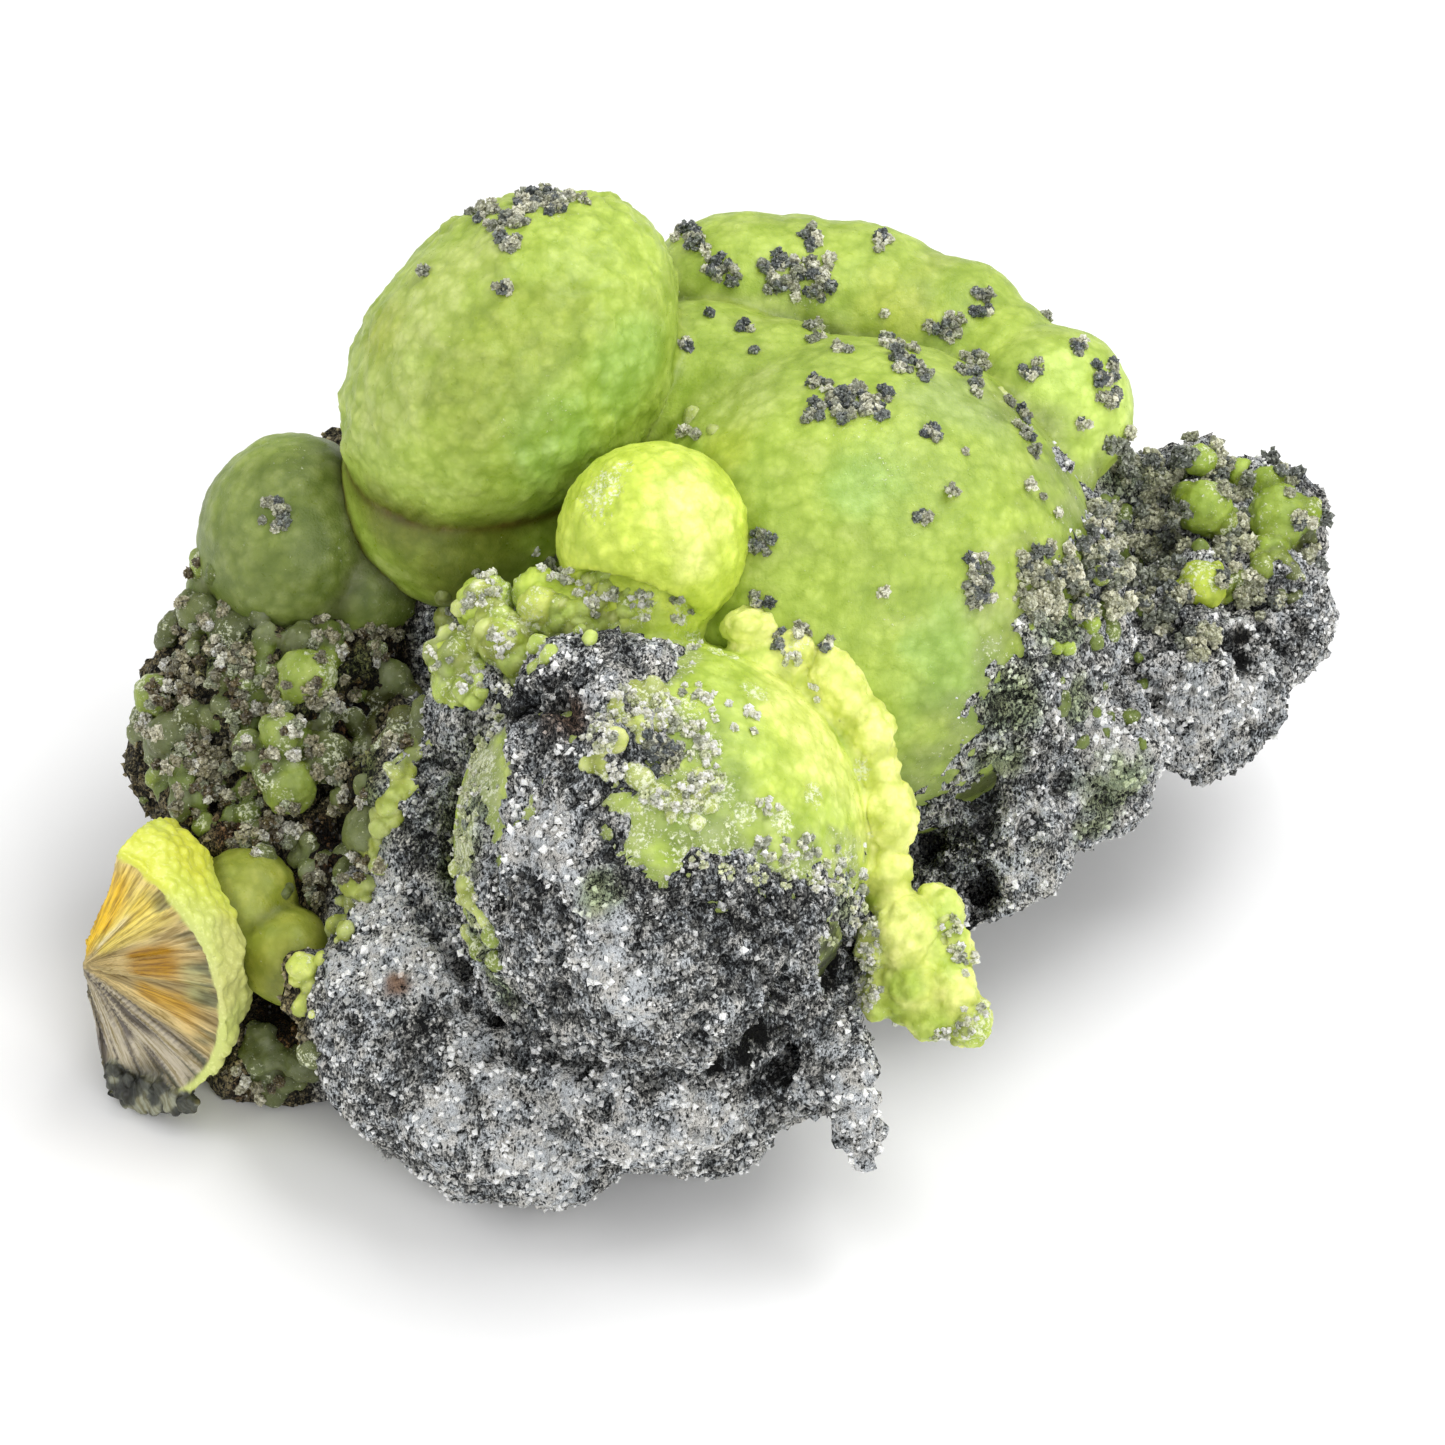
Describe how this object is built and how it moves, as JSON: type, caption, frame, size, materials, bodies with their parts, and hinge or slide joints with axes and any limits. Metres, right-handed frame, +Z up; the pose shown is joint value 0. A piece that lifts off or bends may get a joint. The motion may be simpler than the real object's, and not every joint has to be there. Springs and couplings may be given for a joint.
{
  "type": "wavellite specimen",
  "caption": "Hand specimen of green wavellite: smooth radiating crystal balls and small beads grown on a broken piece of grey rock, standing on its flat cleaved underside.",
  "frame": {"origin": "on the flat cleaved underside, below the middle of the face that carries the crystals", "axes": "+X to the viewer's right along the longest side, +Y away from the viewer, +Z up from the underside"},
  "size_m": [0.0668, 0.0518, 0.0421],
  "materials": {
    "rock": "rough, porous, grey with pale fibrous flecks and dark pits",
    "wavellite": "waxy, slightly translucent yellowish green with a finely bumpy skin",
    "bright_wavellite": "waxy, slightly translucent lemon green",
    "olive_wavellite": "waxy olive green",
    "broken_wavellite": "silky radiating fibres, amber and grey, with a lemon green skin"
  },
  "bodies": {
    "root": {"matrix": "rock", "wavellite_main": "wavellite", "wavellite_front": "bright_wavellite", "wavellite_left": "olive_wavellite", "wavellite_broken_ball": "broken_wavellite", "wavellite_low_pair": "bright_wavellite"}
  },
  "joints": []
}
